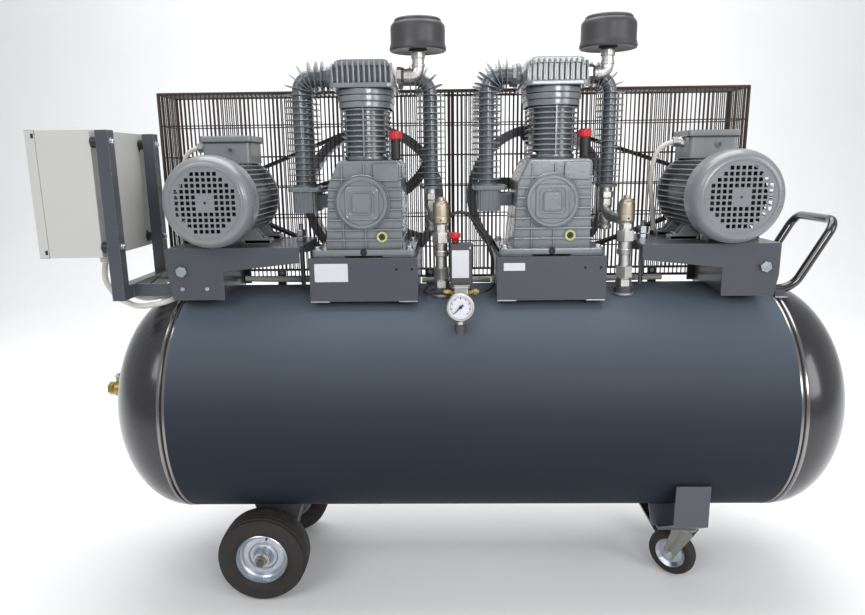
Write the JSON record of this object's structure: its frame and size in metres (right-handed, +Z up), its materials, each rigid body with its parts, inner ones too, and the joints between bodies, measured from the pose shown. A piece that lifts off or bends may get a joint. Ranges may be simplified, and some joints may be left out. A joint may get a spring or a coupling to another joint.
{
  "type": "horizontal tank compressor",
  "caption": "Wheeled horizontal air receiver with two belt-driven piston pumps, electric motors, mesh belt guard, pull handle and control enclosure.",
  "frame": {"origin": "middle of the bounding box in X and Y, on the floor", "axes": "+X along the tank towards the handle end, +Y from the fan side to the belt guard side, +Z up"},
  "size_m": [1.996, 0.6, 1.4603],
  "materials": {
    "tank_paint": "semi-gloss slate blue paint",
    "bracket_paint": "semi-gloss dark slate paint",
    "handle_paint": "gloss black paint",
    "zinc": "bright zinc plate",
    "tyre_rubber": "worn matte rubber",
    "caster_rubber": "matte rubber on a plated core",
    "guard_wire": "dark brown coated wire",
    "cabinet_paint": "light grey textured powder coat",
    "black_plastic": "matte black plastic",
    "red_plastic": "gloss red plastic",
    "brass": "machined brass",
    "lever_grip": "dipped grip",
    "pump_casting": "gloss grey paint over casting",
    "cooler_metal": "painted finned tube",
    "motor_paint": "gloss grey paint",
    "machined_steel": "machined",
    "flywheel_iron": "dark painted casting",
    "bright_pipe": "polished pipe",
    "filter_plastic": "semi-matte black",
    "nickel": "nickel-plated brass",
    "belt_rubber": "matte belt rubber"
  },
  "bodies": {
    "frame": {"tank": "tank_paint", "axle_bracket": "bracket_paint", "caster_bracket": "bracket_paint", "pull_handle": "handle_paint", "belt_guard": "guard_wire", "enclosure_box": "cabinet_paint", "enclosure_bracket": "bracket_paint", "pressure_switch": "black_plastic", "gauge_case": "zinc", "outlet_valve": "brass", "pump_bracket_left": "bracket_paint", "crankcase_left": "pump_casting", "crank_cover_left": "pump_casting", "cylinder_block_left": "pump_casting", "cylinder_head_left": "pump_casting", "intercooler_left": "cooler_metal", "aftercooler_left": "cooler_metal", "intake_pipe_left": "bright_pipe", "air_filter_left": "filter_plastic", "breather_left": "red_plastic", "outlet_stack_left": "nickel", "motor_stand_left": "bracket_paint", "drive_belt_left": "belt_rubber", "pump_bracket_right": "bracket_paint", "crankcase_right": "pump_casting", "crank_cover_right": "pump_casting", "cylinder_block_right": "pump_casting", "cylinder_head_right": "pump_casting", "intercooler_right": "cooler_metal", "aftercooler_right": "cooler_metal", "intake_pipe_right": "bright_pipe", "air_filter_right": "filter_plastic", "breather_right": "red_plastic", "outlet_stack_right": "nickel", "motor_stand_right": "bracket_paint", "drive_belt_right": "belt_rubber"},
    "crank_left": {"crankshaft_left": "machined_steel", "flywheel_left": "flywheel_iron"},
    "motor_left": {"motor_plate_left": "bracket_paint", "motor_housing_left": "motor_paint", "fan_cover_left": "motor_paint"},
    "rotor_left": {"motor_rotor_left": "machined_steel"},
    "crank_right": {"crankshaft_right": "machined_steel", "flywheel_right": "flywheel_iron"},
    "motor_right": {"motor_plate_right": "bracket_paint", "motor_housing_right": "motor_paint", "fan_cover_right": "motor_paint"},
    "rotor_right": {"motor_rotor_right": "machined_steel"},
    "wheel_front": {"wheel_front_rim": "zinc", "wheel_front_tyre": "tyre_rubber"},
    "wheel_back": {"wheel_back_rim": "zinc", "wheel_back_tyre": "tyre_rubber"},
    "caster_front_yoke": {"caster_front_fork": "zinc"},
    "caster_front_roller": {"caster_front_wheel": "caster_rubber"},
    "caster_back_yoke": {"caster_back_fork": "zinc"},
    "caster_back_roller": {"caster_back_wheel": "caster_rubber"},
    "door": {"enclosure_door": "cabinet_paint"},
    "knob": {"switch_knob": "red_plastic"},
    "needle": {"gauge_needle": "black_plastic"},
    "lever": {"outlet_valve_lever": "lever_grip"}
  },
  "joints": [
    {"name": "crank_turn_left", "type": "hinge", "parent": "frame", "child": "crank_left", "pos_m": [-0.227, 0, 1.03], "axis": [0, 1, 0], "continuous": true},
    {"name": "motor_tilt_left", "type": "hinge", "parent": "frame", "child": "motor_left", "pos_m": [-0.669, 0, 0.871], "axis": [0, -1, 0], "range_deg": [0, 2], "deforming": ["drive_belt_left"]},
    {"name": "rotor_turn_left", "type": "hinge", "parent": "motor_left", "child": "rotor_left", "pos_m": [-0.58, 0, 1.039], "axis": [0, 1, 0], "continuous": true},
    {"name": "crank_turn_right", "type": "hinge", "parent": "frame", "child": "crank_right", "pos_m": [0.233, 0, 1.03], "axis": [0, 1, 0], "continuous": true},
    {"name": "motor_tilt_right", "type": "hinge", "parent": "frame", "child": "motor_right", "pos_m": [0.742, 0, 0.871], "axis": [0, 1, 0], "range_deg": [0, 2], "deforming": ["drive_belt_right"]},
    {"name": "rotor_turn_right", "type": "hinge", "parent": "motor_right", "child": "rotor_right", "pos_m": [0.649, 0, 1.039], "axis": [0, 1, 0], "continuous": true},
    {"name": "wheel_front_spin", "type": "hinge", "parent": "frame", "child": "wheel_front", "pos_m": [-0.511, -0.17, 0.117], "axis": [0, 1, 0], "continuous": true},
    {"name": "wheel_back_spin", "type": "hinge", "parent": "frame", "child": "wheel_back", "pos_m": [-0.511, 0.17, 0.117], "axis": [0, 1, 0], "continuous": true},
    {"name": "caster_front_swivel", "type": "hinge", "parent": "frame", "child": "caster_front_yoke", "pos_m": [0.62, -0.099, 0.168], "axis": [0, 0, 1], "continuous": true},
    {"name": "caster_front_roll", "type": "hinge", "parent": "caster_front_yoke", "child": "caster_front_roller", "pos_m": [0.59549, -0.07843, 0.065], "axis": [0.6428, 0.766, 0], "continuous": true},
    {"name": "caster_back_swivel", "type": "hinge", "parent": "frame", "child": "caster_back_yoke", "pos_m": [0.62, 0.099, 0.168], "axis": [0, 0, 1], "continuous": true},
    {"name": "caster_back_roll", "type": "hinge", "parent": "caster_back_yoke", "child": "caster_back_roller", "pos_m": [0.65091, 0.09072, 0.065], "axis": [-0.2588, -0.9659, 0], "continuous": true},
    {"name": "enclosure_door_swing", "type": "hinge", "parent": "frame", "child": "door", "pos_m": [-0.9764, 0.105, 1.059], "axis": [0, 0, -1], "range_deg": [0, 120]},
    {"name": "switch_knob_push", "type": "slide", "parent": "frame", "child": "knob", "axis": [0, 0, 1], "range_m": [-0.006, 0]},
    {"name": "gauge_needle_sweep", "type": "hinge", "parent": "frame", "child": "needle", "pos_m": [0.009, -0.214, 0.787], "axis": [0, 1, 0], "range_deg": [0, 270]},
    {"name": "outlet_lever_turn", "type": "hinge", "parent": "frame", "child": "lever", "pos_m": [-0.9343, 0, 0.5543], "axis": [0, 0, 1], "range_deg": [0, 90]}
  ],
  "couplings": [
    {"joint": "rotor_turn_left", "follows": "crank_turn_left", "ratio": 3.3793},
    {"joint": "rotor_turn_right", "follows": "crank_turn_right", "ratio": 3.3793}
  ]
}
